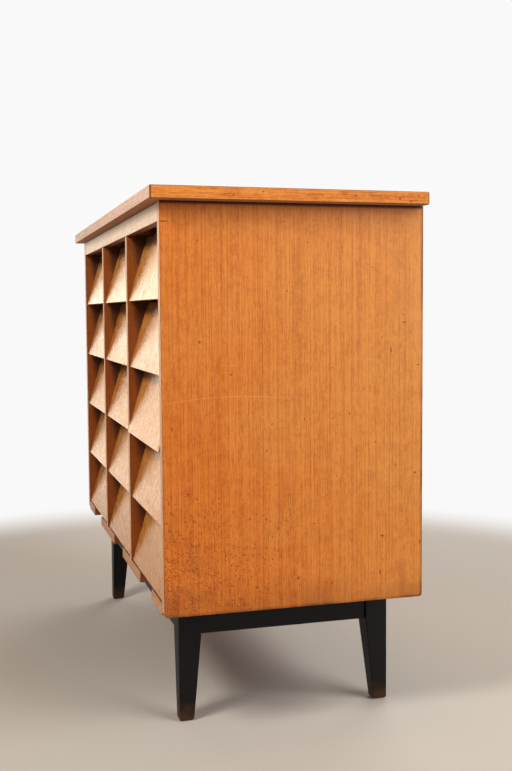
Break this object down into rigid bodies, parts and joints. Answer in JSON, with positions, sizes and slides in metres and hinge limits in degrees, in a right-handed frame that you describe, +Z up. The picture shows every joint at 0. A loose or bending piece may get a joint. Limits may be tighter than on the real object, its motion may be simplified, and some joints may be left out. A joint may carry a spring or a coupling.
{
  "type": "chest of drawers",
  "caption": "Wooden chest of drawers with leaning fronts in rows and columns, gripped under their lower edges, on a black base with tapered legs.",
  "frame": {"origin": "on the floor, under the middle of the whole chest's box", "axes": "+X along the front to the right as seen from the front, +Y from the front to the back, +Z up"},
  "size_m": [1.116, 0.4942, 0.9443],
  "materials": {
    "veneer": "satin orange brown veneer",
    "edge_wood": "satin pale solid wood",
    "front_veneer": "satin pale veneer",
    "drawer_wood": "plain sanded hardwood",
    "plywood": "thin plywood",
    "black_lacquer": "worn satin black lacquer"
  },
  "bodies": {
    "carcass": {"top_board": "veneer", "side_panel_left": "veneer", "side_panel_right": "veneer", "divider_left": "veneer", "divider_right": "veneer", "bottom_board": "edge_wood", "back_panel": "plywood", "front_top_rail": "edge_wood", "base_apron": "black_lacquer", "leg_front_left": "black_lacquer", "leg_front_right": "black_lacquer", "leg_rear_left": "black_lacquer", "leg_rear_right": "black_lacquer"},
    "drawer_r1_c1": {"drawer_r1_c1_front": "front_veneer", "drawer_r1_c1_box": "drawer_wood", "drawer_r1_c1_bottom": "plywood"},
    "drawer_r1_c2": {"drawer_r1_c2_front": "front_veneer", "drawer_r1_c2_box": "drawer_wood", "drawer_r1_c2_bottom": "plywood"},
    "drawer_r1_c3": {"drawer_r1_c3_front": "front_veneer", "drawer_r1_c3_box": "drawer_wood", "drawer_r1_c3_bottom": "plywood"},
    "drawer_r2_c1": {"drawer_r2_c1_front": "front_veneer", "drawer_r2_c1_box": "drawer_wood", "drawer_r2_c1_bottom": "plywood"},
    "drawer_r2_c2": {"drawer_r2_c2_front": "front_veneer", "drawer_r2_c2_box": "drawer_wood", "drawer_r2_c2_bottom": "plywood"},
    "drawer_r2_c3": {"drawer_r2_c3_front": "front_veneer", "drawer_r2_c3_box": "drawer_wood", "drawer_r2_c3_bottom": "plywood"},
    "drawer_r3_c1": {"drawer_r3_c1_front": "front_veneer", "drawer_r3_c1_box": "drawer_wood", "drawer_r3_c1_bottom": "plywood"},
    "drawer_r3_c2": {"drawer_r3_c2_front": "front_veneer", "drawer_r3_c2_box": "drawer_wood", "drawer_r3_c2_bottom": "plywood"},
    "drawer_r3_c3": {"drawer_r3_c3_front": "front_veneer", "drawer_r3_c3_box": "drawer_wood", "drawer_r3_c3_bottom": "plywood"},
    "drawer_r4_c1": {"drawer_r4_c1_front": "front_veneer", "drawer_r4_c1_box": "drawer_wood", "drawer_r4_c1_bottom": "plywood"},
    "drawer_r4_c2": {"drawer_r4_c2_front": "front_veneer", "drawer_r4_c2_box": "drawer_wood", "drawer_r4_c2_bottom": "plywood"},
    "drawer_r4_c3": {"drawer_r4_c3_front": "front_veneer", "drawer_r4_c3_box": "drawer_wood", "drawer_r4_c3_bottom": "plywood"},
    "drawer_r5_c1": {"drawer_r5_c1_front": "front_veneer", "drawer_r5_c1_box": "drawer_wood", "drawer_r5_c1_bottom": "plywood"},
    "drawer_r5_c2": {"drawer_r5_c2_front": "front_veneer", "drawer_r5_c2_box": "drawer_wood", "drawer_r5_c2_bottom": "plywood"},
    "drawer_r5_c3": {"drawer_r5_c3_front": "front_veneer", "drawer_r5_c3_box": "drawer_wood", "drawer_r5_c3_bottom": "plywood"}
  },
  "joints": [
    {"name": "drawer_r1_c1_slide", "type": "slide", "parent": "carcass", "child": "drawer_r1_c1", "axis": [0, -1, 0], "range_m": [0, 0.32]},
    {"name": "drawer_r1_c2_slide", "type": "slide", "parent": "carcass", "child": "drawer_r1_c2", "axis": [0, -1, 0], "range_m": [0, 0.32]},
    {"name": "drawer_r1_c3_slide", "type": "slide", "parent": "carcass", "child": "drawer_r1_c3", "axis": [0, -1, 0], "range_m": [0, 0.32]},
    {"name": "drawer_r2_c1_slide", "type": "slide", "parent": "carcass", "child": "drawer_r2_c1", "axis": [0, -1, 0], "range_m": [0, 0.32]},
    {"name": "drawer_r2_c2_slide", "type": "slide", "parent": "carcass", "child": "drawer_r2_c2", "axis": [0, -1, 0], "range_m": [0, 0.32]},
    {"name": "drawer_r2_c3_slide", "type": "slide", "parent": "carcass", "child": "drawer_r2_c3", "axis": [0, -1, 0], "range_m": [0, 0.32]},
    {"name": "drawer_r3_c1_slide", "type": "slide", "parent": "carcass", "child": "drawer_r3_c1", "axis": [0, -1, 0], "range_m": [0, 0.32]},
    {"name": "drawer_r3_c2_slide", "type": "slide", "parent": "carcass", "child": "drawer_r3_c2", "axis": [0, -1, 0], "range_m": [0, 0.32]},
    {"name": "drawer_r3_c3_slide", "type": "slide", "parent": "carcass", "child": "drawer_r3_c3", "axis": [0, -1, 0], "range_m": [-0.006, 0.314]},
    {"name": "drawer_r4_c1_slide", "type": "slide", "parent": "carcass", "child": "drawer_r4_c1", "axis": [0, -1, 0], "range_m": [0, 0.32]},
    {"name": "drawer_r4_c2_slide", "type": "slide", "parent": "carcass", "child": "drawer_r4_c2", "axis": [0, -1, 0], "range_m": [0, 0.32]},
    {"name": "drawer_r4_c3_slide", "type": "slide", "parent": "carcass", "child": "drawer_r4_c3", "axis": [0, -1, 0], "range_m": [0, 0.32]},
    {"name": "drawer_r5_c1_slide", "type": "slide", "parent": "carcass", "child": "drawer_r5_c1", "axis": [0, -1, 0], "range_m": [0, 0.32]},
    {"name": "drawer_r5_c2_slide", "type": "slide", "parent": "carcass", "child": "drawer_r5_c2", "axis": [0, -1, 0], "range_m": [0, 0.32]},
    {"name": "drawer_r5_c3_slide", "type": "slide", "parent": "carcass", "child": "drawer_r5_c3", "axis": [0, -1, 0], "range_m": [0, 0.32]}
  ]
}
